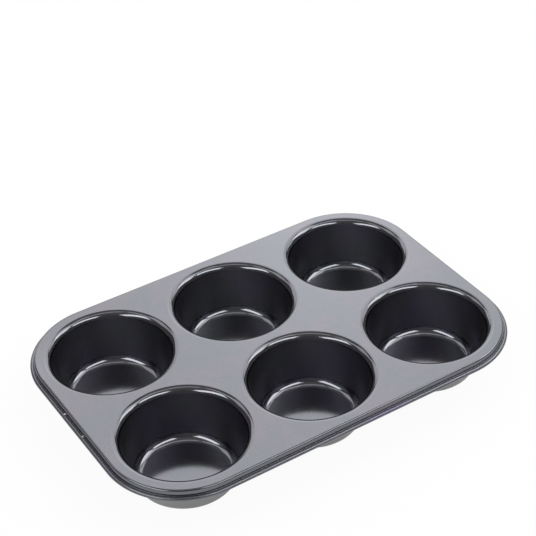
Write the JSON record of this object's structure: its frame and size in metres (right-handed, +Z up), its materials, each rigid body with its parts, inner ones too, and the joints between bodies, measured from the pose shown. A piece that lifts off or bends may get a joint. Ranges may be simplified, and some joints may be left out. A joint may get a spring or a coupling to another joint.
{
  "type": "jumbo muffin pan",
  "caption": "Rectangular metal baking pan for jumbo muffins, with deep round tapered cups, rounded corners and a rolled rim.",
  "frame": {"origin": "on the surface that the pan stands on, under the middle of the deck", "axes": "+X along the long side, +Y along the short side towards the back row of cups, +Z up out of the cups"},
  "size_m": [0.336, 0.229, 0.0412],
  "materials": {
    "muffin_pan": "dark graphite non-stick coat, semi-gloss"
  },
  "bodies": {
    "root": {"muffin_pan": "muffin_pan"}
  },
  "joints": []
}
